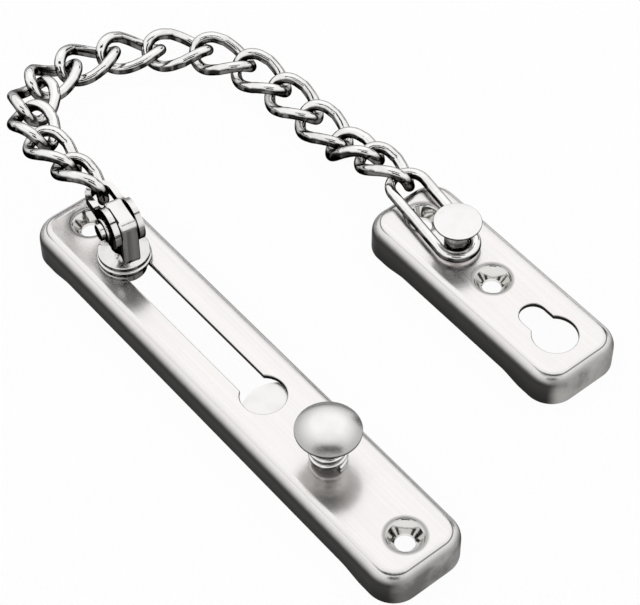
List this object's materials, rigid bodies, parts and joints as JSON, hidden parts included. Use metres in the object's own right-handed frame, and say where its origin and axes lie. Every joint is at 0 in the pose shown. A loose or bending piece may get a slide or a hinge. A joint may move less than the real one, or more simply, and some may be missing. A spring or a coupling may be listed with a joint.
{
  "type": "door chain",
  "caption": "Security door chain: slotted track plate with press-release latch and captive swivel slider, twisted curb chain, oval ring and short keeper plate with stud and keyhole.",
  "frame": {"origin": "middle of the track plate on the door's face, where the plate's feet rest", "axes": "+X along the track plate from the slot's blind end to the button, +Z out of the door, keeper plate on +Y"},
  "size_m": [0.1855, 0.0906, 0.0269],
  "materials": {
    "brushed_plate": "satin, brushed along the plate",
    "polished": "polished",
    "latch": "plain rolled",
    "spring": "drawn wire"
  },
  "bodies": {
    "track": {"track_plate": "brushed_plate", "return_spring": "spring"},
    "slider": {"slider_bush": "polished"},
    "lug": {"slider_lug": "polished"},
    "shackle": {"shackle": "polished", "shackle_pin": "polished"},
    "link_01": {"link_01": "polished"},
    "link_02": {"link_02": "polished"},
    "link_03": {"link_03": "polished"},
    "link_04": {"link_04": "polished"},
    "link_05": {"link_05": "polished"},
    "link_06": {"link_06": "polished"},
    "link_07": {"link_07": "polished"},
    "link_08": {"link_08": "polished"},
    "link_09": {"link_09": "polished"},
    "link_10": {"link_10": "polished"},
    "link_11": {"link_11": "polished"},
    "link_12": {"link_12": "polished"},
    "link_13": {"link_13": "polished"},
    "link_14": {"link_14": "polished"},
    "end_ring": {"end_ring": "polished"},
    "keeper": {"keeper_plate": "brushed_plate", "keeper_stud": "polished"},
    "button": {"press_button": "polished", "latch_plate": "latch"}
  },
  "joints": [
    {"name": "slider_slide", "type": "slide", "parent": "track", "child": "slider", "axis": [1, 0, 0], "range_m": [0, 0.046]},
    {"name": "slider_swivel", "type": "hinge", "parent": "slider", "child": "lug", "pos_m": [-0.0459, 0, 0.015], "axis": [0, 0, 1], "range_deg": [-15, 150]},
    {"name": "shackle_hinge", "type": "hinge", "parent": "lug", "child": "shackle", "pos_m": [-0.0459, 0, 0.0216], "axis": [0.1736, 0.9848, 0], "range_deg": [-8, 100]},
    {"name": "link_01_hinge", "type": "hinge", "parent": "shackle", "child": "link_01", "pos_m": [-0.05693, 0.00227, 0.02087], "axis": [-0.1001, -0.1219, 0.9875], "range_deg": [-15, 40]},
    {"name": "link_02_hinge", "type": "hinge", "parent": "link_01", "child": "link_02", "pos_m": [-0.07344, 0.00227, 0.0192], "axis": [0.0088, -0.9962, -0.0867], "range_deg": [-10, 10]},
    {"name": "link_03_hinge", "type": "hinge", "parent": "link_02", "child": "link_03", "pos_m": [-0.08274, 0.00184, 0.01844], "axis": [0.3488, 0.4017, -0.8468], "range_deg": [-40, 14]},
    {"name": "link_04_hinge", "type": "hinge", "parent": "link_03", "child": "link_04", "pos_m": [-0.0979, 0.00766, 0.01496], "axis": [0.2245, 0.8596, 0.459], "range_deg": [-15, 40]},
    {"name": "link_05_hinge", "type": "hinge", "parent": "link_04", "child": "link_05", "pos_m": [-0.10444, 0.01415, 0.01255], "axis": [-0.745, -0.0459, 0.6655], "range_deg": [-15, 40]},
    {"name": "link_06_hinge", "type": "hinge", "parent": "link_05", "child": "link_06", "pos_m": [-0.10962, 0.02919, 0.00779], "axis": [-0.6153, -0.4225, -0.6655], "range_deg": [-40, 25]},
    {"name": "link_07_hinge", "type": "hinge", "parent": "link_06", "child": "link_07", "pos_m": [-0.10903, 0.03853, 0.00658], "axis": [0.622, -0.3869, -0.6807], "range_deg": [-40, 25]},
    {"name": "link_08_hinge", "type": "hinge", "parent": "link_07", "child": "link_08", "pos_m": [-0.1032, 0.05372, 0.00328], "axis": [0.7211, -0.1287, 0.6807], "range_deg": [-15, 40]},
    {"name": "link_09_hinge", "type": "hinge", "parent": "link_08", "child": "link_09", "pos_m": [-0.09741, 0.06127, 0.00356], "axis": [-0.304, 0.6519, 0.6947], "range_deg": [-15, 40]},
    {"name": "link_10_hinge", "type": "hinge", "parent": "link_09", "child": "link_10", "pos_m": [-0.08236, 0.06828, 0.00356], "axis": [-0.304, 0.6519, -0.6947], "range_deg": [-40, 20]},
    {"name": "link_11_hinge", "type": "hinge", "parent": "link_10", "child": "link_11", "pos_m": [-0.07309, 0.06904, 0.00356], "axis": [0.0126, -0.7192, -0.6947], "range_deg": [-40, 35]},
    {"name": "link_12_hinge", "type": "hinge", "parent": "link_11", "child": "link_12", "pos_m": [-0.05649, 0.06933, 0.00356], "axis": [0.0126, -0.7192, 0.6947], "range_deg": [-25, 30]},
    {"name": "link_13_hinge", "type": "hinge", "parent": "link_12", "child": "link_13", "pos_m": [-0.04716, 0.06882, 0.00321], "axis": [-0.2029, 0.8626, 0.4634], "range_deg": [-21, 15]},
    {"name": "link_14_hinge", "type": "hinge", "parent": "link_13", "child": "link_14", "pos_m": [-0.03178, 0.06909, 0.00945], "axis": [0.3093, 0.5354, -0.7859], "range_deg": [-13, 19]},
    {"name": "end_ring_hinge", "type": "hinge", "parent": "link_14", "child": "end_ring", "pos_m": [-0.01888, 0.06906, 0.01075], "axis": [-0.1258, -0.3746, 0.9186], "range_deg": [-25, 23]},
    {"name": "keeper_swivel", "type": "hinge", "parent": "end_ring", "child": "keeper", "pos_m": [0.00369, 0.06563, 0.0105], "axis": [0, 0, 1], "range_deg": [-50, 50]},
    {"name": "button_press", "type": "slide", "parent": "track", "child": "button", "axis": [0, 0, -1], "range_m": [0, 0.0032], "stiffness_N_per_m": 600, "springref_m": -0.002, "deforming": ["return_spring"]}
  ]
}
